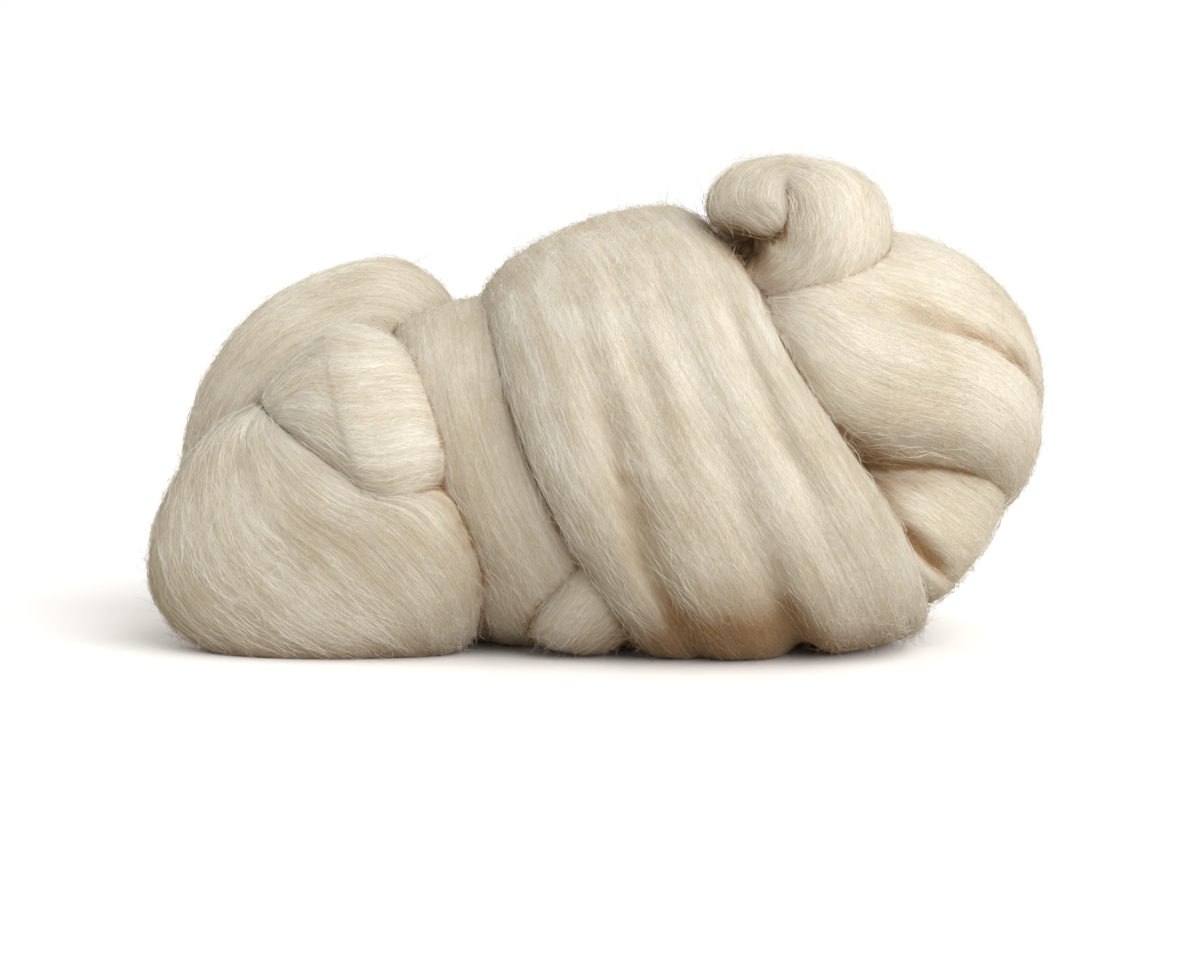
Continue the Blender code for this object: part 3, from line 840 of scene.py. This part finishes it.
def tubes(spines, normals, radius, tint, shade):
    """Closed three-sided tubes round many spines at once.

    At each inner spine point the ring is radius * (cos * side + sin * up), where side is
    square to the spine and the normal; both ends close on their own point. Each fibre
    has a narrow cell of its own in the bake map, its length up the cell.
    """
    fibres, stations, _ = spines.shape
    run = unit(np.gradient(spines, axis=1))
    side = unit(np.cross(run, normals))
    up = np.cross(side, run)
    thickness = radius[:, None] * (np.sin(math.pi * np.linspace(0, 1, stations))[None] ** 0.5)
    angle = (np.arange(SIDES) * 2 * math.pi / SIDES)[None, None, :, None]
    inner = slice(1, stations - 1)
    ring = (spines[:, inner, None]
            + thickness[:, inner, None, None] * (np.cos(angle) * side[:, inner, None]
                                                 + np.sin(angle) * up[:, inner, None]))
    rings = stations - 2
    per_fibre = rings * SIDES + 2
    points = np.concatenate([ring.reshape(fibres, rings * SIDES, 3),
                             spines[:, :1], spines[:, -1:]], axis=1)
    step = np.arange(SIDES)
    beside, zero = (step + 1) % SIDES, 0 * step
    level, top = np.arange(rings - 1)[:, None] * SIDES, (rings - 1) * SIDES
    quads = np.stack([level + step, level + beside,
                      level + SIDES + beside, level + SIDES + step], -1)
    tips = np.array([(zero + per_fibre - 2, beside, step),
                     (zero + per_fibre - 1, top + step, top + beside)]).transpose(0, 2, 1)
    sizes = np.repeat((4, 3), ((rings - 1) * SIDES, 2 * SIDES))
    row = np.arange(1, rings)[:, None] + zero
    column, end = step + 0 * row, zero + stations - 1
    local = np.concatenate([
        corner_places((column, row), (column + 1, row), (column + 1, row + 1), (column, row + 1)),
        corner_places((step + 0.5, zero), (step + 1, zero + 1), (step, zero + 1)),
        corner_places((step + 0.5, end), (step, end - 1), (step + 1, end - 1))])
    local = local / (SIDES, stations - 1)
    columns = math.ceil(math.sqrt(fibres * CELL_HEIGHT))
    fibre = np.arange(fibres)
    cell = np.stack([fibre % columns, fibre // columns], -1)[:, None]
    places = ((cell + CELL_MARGIN + (1 - 2 * CELL_MARGIN) * local[None])
              / (columns, math.ceil(fibres / columns)))
    corners = (np.concatenate([quads.ravel(), tips.ravel()])[None]
               + (fibre * per_fibre)[:, None]).reshape(-1)
    shades = np.concatenate([np.repeat(shade[:, inner], SIDES, 1),
                             shade[:, :1], shade[:, -1:]], axis=1)
    return (points.reshape(-1, 3), corners, np.tile(sizes, fibres), places.reshape(-1, 2),
            np.repeat(tint, per_fibre), shades.reshape(-1))


def comb(surface, sides, count, length, radius, rng):
    """Fibres that lie along a fold: a spine follows the grid's long way from a random place.

    The spine drifts across by its own small slope, waves a little, floats just off the
    surface, and some ends lift.
    """
    roots = pick_roots(surface, sides, count, rng)
    if roots is None:
        return None
    root_u, root_v = roots
    here, ahead, beside = (on_grid(surface, root_u + du, root_v + dv)[0]
                           for du, dv in ((0, 0), (0.5, 0), (0, 0.5)))
    per_row = np.maximum(np.linalg.norm(ahead - here, axis=1) * 2, LEAST_ROW)
    per_step = np.maximum(np.linalg.norm(beside - here, axis=1) * 2, LEAST_STEP)
    reach = length * rng.uniform(*FIBRE_LENGTHS, count)
    share = np.linspace(-0.5, 0.5, SPINE)[None]
    u = root_u[:, None] + share * (reach / per_row)[:, None]
    slope = rng.normal(0, FIBRE_SLOPE, count)
    slope = slope + np.where(rng.random(count) < STRAY_PART,
                             rng.normal(0, STRAY_SLOPE, count), 0)
    wave = rng.normal(0, WAVE_HEIGHT, (count, 1)) * np.sin(
        rng.uniform(0, ANY_PHASE, (count, 1)) + share * rng.uniform(*WAVE_TURNS, (count, 1)))
    v = root_v[:, None] + (share * (slope * reach)[:, None] + wave) / per_step[:, None]
    spine, normal, shade = on_grid(surface, u, v)
    float_off = rng.exponential(FLOAT_OFF, count)[:, None] + LEAST_FLOAT
    arch = rng.exponential(ARCH, count)[:, None] * np.cos(math.pi * share)
    lift = np.where(rng.random(count) < LIFTED_PART, rng.exponential(END_LIFT, count), 0)
    lift = lift[:, None] * (0.5 + share * rng.choice([-1, 1], count)[:, None]) ** 3
    off = float_off + arch + lift + rng.normal(0, JITTER, (count, SPINE))
    spine = lift_over_creases(spine, sides) + normal * off[..., None]
    spine[..., 2] = np.maximum(spine[..., 2], FLOOR_CLEARANCE)
    thick = radius * rng.uniform(*FIBRE_THICKNESSES, count)
    return tubes(spine, normal, thick, own_tone(surface, root_u, root_v, rng), shade[..., 0])


def own_tone(surface, along, around, rng):
    """Each fibre's tone: mostly its streak's, partly its own."""
    streak = streak_tone(surface, along, around)
    return np.clip(streak + rng.uniform(-OWN_SHARE, OWN_SHARE, len(along)), 0, 1)


def fluff(surface, sides, count, length, lift, radius, stations, stray, rng):
    """Loose hairs: each leaves the surface, runs along the fold, curls and stands off.

    With t from root to tip: root + heading * length * t + normal * lift * t**1.5 + a
    sideways curl of sin(turns * t). Stray is how far its heading swings from the fold's,
    in radians.
    """
    roots = pick_roots(surface, sides, count, rng, HAIR_NEAR_FLOOR)
    if roots is None:
        return None
    root_u, root_v = roots
    here, normal, shade = on_grid(surface, root_u, root_v)
    heading = unit(on_grid(surface, root_u + 1, root_v)[0] - here)
    heading = heading * rng.choice([-1, 1], count)[:, None]
    side = np.cross(normal, heading)
    angle = rng.normal(0, stray, count)[:, None]
    heading, side = (heading * np.cos(angle) + side * np.sin(angle),
                     side * np.cos(angle) - heading * np.sin(angle))
    t = np.linspace(0, 1, stations)[None, :, None]
    reach = (length * rng.uniform(*HAIR_LENGTHS, count))[:, None, None]
    stand = rng.gamma(STAND_SHAPE, lift / STAND_SHAPE, count)[:, None, None]
    bend = rng.normal(0, CURL, count)[:, None, None] * reach
    turns = rng.uniform(*CURL_TURNS, count)[:, None, None]
    phase = rng.uniform(0, ANY_PHASE, count)[:, None, None]
    swing, rise = (wave(phase + turns * t) - wave(phase) for wave in (np.sin, np.cos))
    spine = (here[:, None] + heading[:, None] * reach * t
             + normal[:, None] * (stand * t ** 1.5 + HAIR_ARCH * reach * t * (1 - t))
             + side[:, None] * bend * swing
             + normal[:, None] * CURL_RISE * np.abs(bend) * rise * t)
    spine[..., 2] = np.maximum(spine[..., 2], FLOOR_CLEARANCE)
    thick = radius * rng.uniform(*HAIR_THICKNESSES, count)
    return tubes(spine, np.repeat(normal[:, None], stations, 1), thick,
                 own_tone(surface, root_u, root_v, rng), np.repeat(shade, stations, 1))


def joined_fibres(name, bunches, material):
    """One piece from several bunches of tubes, side by side in the bake map.

    Fine hair lets the light through, so it casts no shadow.
    """
    bunches = [bunch for bunch in bunches if bunch is not None]
    points, corners, sizes, places, tint, shade = (list(part) for part in zip(*bunches))
    offsets = np.cumsum([0] + [len(part) for part in points[:-1]])
    for index, offset in enumerate(offsets):
        corners[index] = corners[index] + offset
        places[index] = places[index] * (1 / len(bunches), 1) + (index / len(bunches), 0)
    mesh = mesh_from_arrays(
        name, *(np.concatenate(part) for part in (points, corners, sizes)),
        [("OFBake", np.concatenate(places))], np.concatenate(tint), np.concatenate(shade))
    add_piece(name, mesh, material).visible_shadow = False


# --- materials --------------------------------------------------------------

WOOL_SHADER = {"Roughness": 0.95, "Specular IOR Level": 0.12, "Sheen Weight": 0.4,
               "Sheen Roughness": 0.45, "Sheen Tint": (1.0, 0.96, 0.88, 1.0)}
FLOOR_SHADER = {"Roughness": 0.9, "Specular IOR Level": 0.1}
# strokes in the combed wool: (angle to the fold, length, width), degrees and metres
STROKES = ((0.0, 4.4 * MM, 0.28 * MM), (18.0, 3.2 * MM, 0.30 * MM),
           (-20.0, 3.0 * MM, 0.28 * MM), (48.0, 1.7 * MM, 0.26 * MM),
           (-52.0, 1.6 * MM, 0.26 * MM))
# angle, length and width of the fine streaks and of the slow waver, and how far it sways
FINE_STREAK = (2.0, 22.0 * MM, 1.2 * MM)
WAVER = (0.0, 20 * MM, 7 * MM)
WAVER_SWAY = 2.0 * MM
HAIR_SHARE, STREAK_SHARE, LOCK_SHARE = 0.50, 0.36, 0.28
RELIEF = 0.3 * MM


def node(tree, kind, label, sockets=None, **fields):
    """Add a shader node and set its fields; each socket takes a value or a link."""
    made = tree.nodes.new(kind)
    made.label = label
    for field, value in fields.items():
        setattr(made, field, value)
    for socket, value in (sockets or {}).items():
        if isinstance(value, bpy.types.NodeSocket):
            tree.links.new(value, made.inputs[socket])
        else:
            made.inputs[socket].default_value = value
    return made


def mix_colours(tree, label, factor, first, second):
    """A colour mix; each input is a socket or a colour."""
    return node(tree, "ShaderNodeMix", label, {0: factor, 6: first, 7: second},
                data_type="RGBA").outputs[2]


def worked_out(tree, label, operation, *values, kind="ShaderNodeMath", **fields):
    """The result of a math node on sockets or numbers."""
    return node(tree, kind, label, dict(enumerate(values)), operation=operation,
                **fields).outputs[0]


def spread(tree, label, value, span, onto=(0.0, 1.0), **fields):
    """A value mapped from one span of numbers onto another."""
    return node(tree, "ShaderNodeMapRange", label,
                {0: value, "From Min": span[0], "From Max": span[1], "To Min": onto[0],
                 "To Max": onto[1]}, **fields).outputs[0]


def read_value(tree, label, name):
    """A value that the mesh holds for each point."""
    return node(tree, "ShaderNodeAttribute", label, attribute_name=name).outputs["Fac"]


def new_group(name, inputs, outputs):
    """A node group, what goes into it and what comes out."""
    group = bpy.data.node_groups.new(name, "ShaderNodeTree")
    for way, sockets in (("INPUT", inputs), ("OUTPUT", outputs)):
        for socket, kind in sockets.items():
            group.interface.new_socket(socket, in_out=way, socket_type="NodeSocket" + kind)
    into, out = (group.nodes.new("NodeGroup" + kind) for kind in ("Input", "Output"))
    return group, into.outputs, out.inputs


def wool_tone_group():
    """Node group: cream wool, warmer in soft patches, with painted brown shade where little light
    gets in.

    Place is where to look the patches up, Strand picks between pale and warm, Shade is
    how much of the sky nearby folds hide.
    """
    group, into, out = new_group(
        "wool_tone", {"Place": "Vector", "Strand": "Float", "Pale": "Color", "Warm": "Color",
                      "Deep": "Color", "Shade": "Float"}, {"Colour": "Color"})
    patches = node(group, "ShaderNodeTexNoise", "soft patches",
                   {"Vector": into["Place"], "Scale": 38.0, "Detail": 2.0})
    patchy = spread(group, "patch strength", patches.outputs[0], (0.35, 0.72), (0.0, 0.42))
    total = worked_out(group, "strand and patch", "ADD", into["Strand"], patchy,
                       use_clamp=True)
    toned = mix_colours(group, "pale to warm", total, into["Pale"], into["Warm"])
    # painted shade: the wool turns to the crease colour where nearby folds hide the sky
    shut = spread(group, "crease strength", into["Shade"], (0.02, 0.5),
                  interpolation_type="SMOOTHSTEP")
    final = mix_colours(group, "toned to deep", shut, toned, into["Deep"])
    group.links.new(final, out["Colour"])


def strokes_group():
    """Node group: short strokes of hair and long fine streaks along a map, with a waver.

    Each output is 0 between its hairs or streaks and 1 on them.
    """
    group, into, out = new_group("hair_strokes", {"Grain": "Vector"},
                                 {"Hair": "Float", "Streak": "Float"})

    def noise_along(label, source, angle, length, width, detail):
        stretch = node(group, "ShaderNodeMapping", label,
                       {0: source, "Rotation": (0.0, 0.0, math.radians(angle)),
                        "Scale": (length, width, 1.0)}, vector_type="TEXTURE")
        return node(group, "ShaderNodeTexNoise", label,
                    {"Vector": stretch.outputs[0], "Scale": 1.0, "Detail": detail}).outputs

    def on_vectors(label, operation, first, second):
        return worked_out(group, label, operation, first, second, kind="ShaderNodeVectorMath")

    bend = noise_along("slow waver", into[0], *WAVER, 1.0)["Color"]
    centred = on_vectors("waver both ways", "SUBTRACT", bend, (0.5, 0.5, 0.5))
    swing = on_vectors("waver size", "MULTIPLY", centred, (0.0, WAVER_SWAY, 0.0))
    wavy = on_vectors("wavering map", "ADD", into[0], swing)
    top = None
    for index, stroke in enumerate(STROKES):
        hair = noise_along(f"hair set {index + 1}", wavy, *stroke, 1.5)[0]
        top = hair if top is None else worked_out(group, "upper hair shows", "MAXIMUM", top, hair)
    streaks = noise_along("fine streaks", wavy, *FINE_STREAK, 2.0)[0]
    group.links.new(spread(group, "hair contrast", top, (0.54, 0.75)), out["Hair"])
    group.links.new(spread(group, "streak contrast", streaks, (0.36, 0.64)), out["Streak"])


def new_material(name, values):
    """A material, and its shader with these values."""
    material = bpy.data.materials.new(name)
    material.use_nodes = True
    shader = material.node_tree.nodes["Principled BSDF"]
    for socket, value in values.items():
        shader.inputs[socket].default_value = value
    return material, shader


def colour_wool(tree, wool, shader, strand):
    """Give the shader the wool's colour, between pale and warm by the strand value, with the
    painted shade of the mesh's shade value.
    """
    place = node(tree, "ShaderNodeTexCoord", "where on the bundle")
    tone = node(tree, "ShaderNodeGroup", "wool tone",
                {"Pale": (*wool.pale, 1), "Warm": (*wool.warm, 1), "Deep": (*wool.deep, 1),
                 "Shade": read_value(tree, "shade of nearby folds", "shade"),
                 "Place": place.outputs["Object"], "Strand": strand},
                node_tree=bpy.data.node_groups["wool_tone"])
    tree.links.new(tone.outputs["Colour"], shader.inputs["Base Color"])


def fold_material(wool):
    """The wool between the fibres: strokes of hair and soft locks set tone and relief; the gaps
    between hair strokes are painted darker and warmer as shade.
    """
    material, shader = new_material("combed_wool", WOOL_SHADER)
    tree = material.node_tree
    grain = node(tree, "ShaderNodeUVMap", "along and round the fold", uv_map="grain")
    strokes = node(tree, "ShaderNodeGroup", "hair strokes", {0: grain.outputs[0]},
                   node_tree=bpy.data.node_groups["hair_strokes"]).outputs
    pale = worked_out(tree, "pale streak", "SUBTRACT", 1.0,
                      read_value(tree, "streak tone", "tint"))
    lock = worked_out(tree, "lock share", "MULTIPLY", pale, LOCK_SHARE)
    streak = worked_out(tree, "streak and lock", "MULTIPLY_ADD",
                        strokes["Streak"], STREAK_SHARE, lock)
    light = worked_out(tree, "hair over streak", "MULTIPLY_ADD",
                       strokes["Hair"], HAIR_SHARE, streak)
    # hair strokes are the wool's grain; the gaps between them are painted darker and warmer as
    # shade
    colour_wool(tree, wool, shader,
                spread(tree, "grain with painted shade between hairs", light, (0.0, 1.0), (0.95, 0.0)))
    bump = node(tree, "ShaderNodeBump", "hair relief",
                {"Strength": 1.0, "Distance": RELIEF, "Height": light})
    tree.links.new(bump.outputs[0], shader.inputs["Normal"])
    return material


def fibre_material(wool, name):
    """Single fibres: each has its own tone between pale and warm, and the painted shade of the
    fold it lies on.
    """
    material, shader = new_material(name, WOOL_SHADER)
    tree = material.node_tree
    own = read_value(tree, "own tone", "tint")
    colour_wool(tree, wool, shader, spread(tree, "tone range", own, (0.15, 0.85), (-0.2, 0.6)))
    return material


# --- operators --------------------------------------------------------------

SURFACES = {}
# which folds each fibre piece covers
FIBRE_GROUPS = (
    ("dome_fibres", ("dome_wrap",)),
    ("waist_fibres", ("waist_wrap", "waist_return")),
    ("right_fibres", ("right_fan", "right_low_fold", "right_crown_fold")),
    ("left_front_fibres", ("front_upper_lobe", "front_lower_lobe")),
    ("back_loop_fibres", ("back_loop", "padding_3", "padding_4")),
    ("knob_fibres", ("knob", "knob_tail", "padding_1", "padding_2")),
)
FIBRE_SEED = 400
HAIR_SEED = 900
# the upper fuzz is longer and stands off further than the short fuzz
UPPER_LENGTH, UPPER_LIFT = 1.3, 1.4


def root_weights(sides):
    """How much of each fold shows, and of all folds together."""
    weights = {name: rooting(surface, sides)[2].sum() for name, surface in SURFACES.items()}
    return weights, sum(weights.values())


class ROVING_OT_folds(bpy.types.Operator):
    """Make the surfaces of all the folds"""

    bl_idname = "roving.folds"
    bl_label = "Make folds"

    def execute(self, context):
        wool_tone_group()
        strokes_group()
        material = fold_material(context.scene.roving_wool)
        sides = solid_sides()
        for strand in all_strands():
            SURFACES[strand.name] = surface = fold_surface(strand, sides)
            add_piece(strand.name, surface_mesh(surface), material)
        return {"FINISHED"}


class ROVING_OT_fibres(bpy.types.Operator):
    """Lay combed fibres over the folds"""

    bl_idname = "roving.fibres"
    bl_label = "Comb fibres"

    def execute(self, context):
        wool = context.scene.roving_wool
        material = fibre_material(wool, "combed_fibre")
        sides = solid_sides()
        weights, total = root_weights(sides)
        for index, (piece, names) in enumerate(FIBRE_GROUPS):
            rng = np.random.default_rng(FIBRE_SEED + index)
            joined_fibres(piece, [
                comb(SURFACES[name], sides, int(wool.fibre_count * weights[name] / total),
                     wool.fibre_length, wool.fibre_radius, rng) for name in names], material)
        return {"FINISHED"}


class ROVING_OT_hairs(bpy.types.Operator):
    """Raise loose hairs off the folds"""

    bl_idname = "roving.hairs"
    bl_label = "Raise loose hairs"

    def execute(self, context):
        wool = context.scene.roving_wool
        material = fibre_material(wool, "loose_hair")
        sides = solid_sides()
        weights, total = root_weights(sides)
        half = wool.fuzz_count // 2
        # piece, number, length, lift, points of a spine and stray of its heading
        kinds = (
            ("loose_hairs", wool.hair_count, wool.hair_length, wool.hair_lift, HAIR_SPINE, 0.5),
            ("short_fuzz", half, wool.fuzz_length, wool.fuzz_lift, FUZZ_SPINE, 1.0),
            ("upper_fuzz", wool.fuzz_count - half, wool.fuzz_length * UPPER_LENGTH,
             wool.fuzz_lift * UPPER_LIFT, FUZZ_SPINE, 0.45))
        for index, (piece, number, length, lift, stations, stray) in enumerate(kinds):
            rng = np.random.default_rng(HAIR_SEED + index)
            joined_fibres(piece, [
                fluff(surface, sides, int(number * weights[name] / total), length, lift,
                      wool.hair_radius, stations, stray, rng)
                for name, surface in SURFACES.items()], material)
        return {"FINISHED"}


class ROVING_OT_stage(bpy.types.Operator):
    """Set the floor, the lights and the camera"""

    bl_idname = "roving.stage"
    bl_label = "Set the stage"

    def execute(self, context):
        studio = context.scene.roving_studio
        set_floor(studio)
        set_lights(studio)
        set_camera(studio)
        return {"FINISHED"}


# --- the stage --------------------------------------------------------------

AIM = Vector((-0.0006, 0.0013, 0.048))
FLOOR_SEEN = (1.15, 1.15, 1.17, 1.0)
FLOOR_BOUNCE = (0.42, 0.36, 0.285, 1.0)
BACKDROP = (1.05, 1.05, 1.05, 1.0)
SKY_COLOUR = (1.0, 0.975, 0.91)
# where the light comes from
KEY_FROM = (0.60, -0.64, 0.68)
KEY_SPREAD = 55.0
FILL_PLACE = (0.95, -0.55, 0.22)
FILL_SIZE = 0.8


def where_seen(tree, label, others, camera):
    """One colour for the camera and another for all that the light falls on."""
    path = node(tree, "ShaderNodeLightPath", "seen by the camera")
    return mix_colours(tree, label, path.outputs["Is Camera Ray"], others, camera)


def set_floor(studio):
    """A plain white floor."""
    half = studio.floor_size / 2
    mesh = bpy.data.meshes.new("floor")
    mesh.from_pydata([(-half, -half, 0), (half, -half, 0), (half, half, 0), (-half, half, 0)],
                     [], [(0, 1, 2, 3)])
    floor = place_object("floor", mesh)
    material, shader = new_material("white_floor", FLOOR_SHADER)
    tree = material.node_tree
    tree.links.new(where_seen(tree, "bright where seen", FLOOR_BOUNCE, FLOOR_SEEN),
                   shader.inputs["Base Color"])
    mesh.materials.append(material)


def set_lights(studio):
    """A surround that is warmer on the wool than to the eye, a broad sun and a low fill."""
    world = bpy.data.worlds.new("surround")
    bpy.context.scene.world = world
    world.use_nodes = True
    tree = world.node_tree
    warm_light = tuple(part * studio.sky for part in SKY_COLOUR) + (1.0,)
    tree.links.new(where_seen(tree, "white where seen", warm_light, BACKDROP),
                   tree.nodes["Background"].inputs["Color"])
    key = bpy.data.lights.new("key", "SUN")
    key.energy = studio.key_power
    key.angle = math.radians(KEY_SPREAD)
    place_object("key", key, towards=-Vector(KEY_FROM))
    fill = bpy.data.lights.new("fill", "AREA")
    fill.energy = studio.fill_power
    fill.size = FILL_SIZE
    place_object("fill", fill, FILL_PLACE, AIM - Vector(FILL_PLACE))


def set_camera(studio):
    """A long lens, a little above the floor, square to the front."""
    camera = bpy.data.cameras.new("camera")
    camera.lens = studio.lens
    camera.clip_start, camera.clip_end = 0.02, 20.0
    back = Vector((0.0, -math.cos(studio.elevation), math.sin(studio.elevation)))
    scene = bpy.context.scene
    scene.camera = place_object("camera", camera, AIM + back * studio.distance, -back)
    scene.view_settings.view_transform = "Standard"


class ROVING_PT_panel(bpy.types.Panel):
    """Lists the pieces of the roving and their settings"""

    bl_label = "Wool Roving"
    bl_idname = "ROVING_PT_panel"
    bl_space_type = "VIEW_3D"
    bl_region_type = "UI"
    bl_category = "Roving"

    def draw(self, context):
        layout = self.layout
        for operator in OPERATORS:
            layout.operator(operator.bl_idname)
        for group in (context.scene.roving_wool, context.scene.roving_studio):
            box = layout.box()
            for name in group.bl_rna.properties.keys():
                if name not in ("rna_type", "name"):
                    box.prop(group, name)


OPERATORS = (ROVING_OT_folds, ROVING_OT_fibres, ROVING_OT_hairs, ROVING_OT_stage)
CLASSES = (RovingWool, RovingStudio, *OPERATORS, ROVING_PT_panel)


def register():
    for item in CLASSES:
        bpy.utils.register_class(item)
    bpy.types.Scene.roving_wool = PointerProperty(type=RovingWool)
    bpy.types.Scene.roving_studio = PointerProperty(type=RovingStudio)


def unregister():
    del bpy.types.Scene.roving_studio
    del bpy.types.Scene.roving_wool
    for item in reversed(CLASSES):
        bpy.utils.unregister_class(item)


def main():
    """Make everything in order."""
    register()
    bpy.ops.roving.folds()
    bpy.ops.roving.fibres()
    bpy.ops.roving.hairs()
    bpy.ops.roving.stage()


if __name__ == "__main__":
    main()
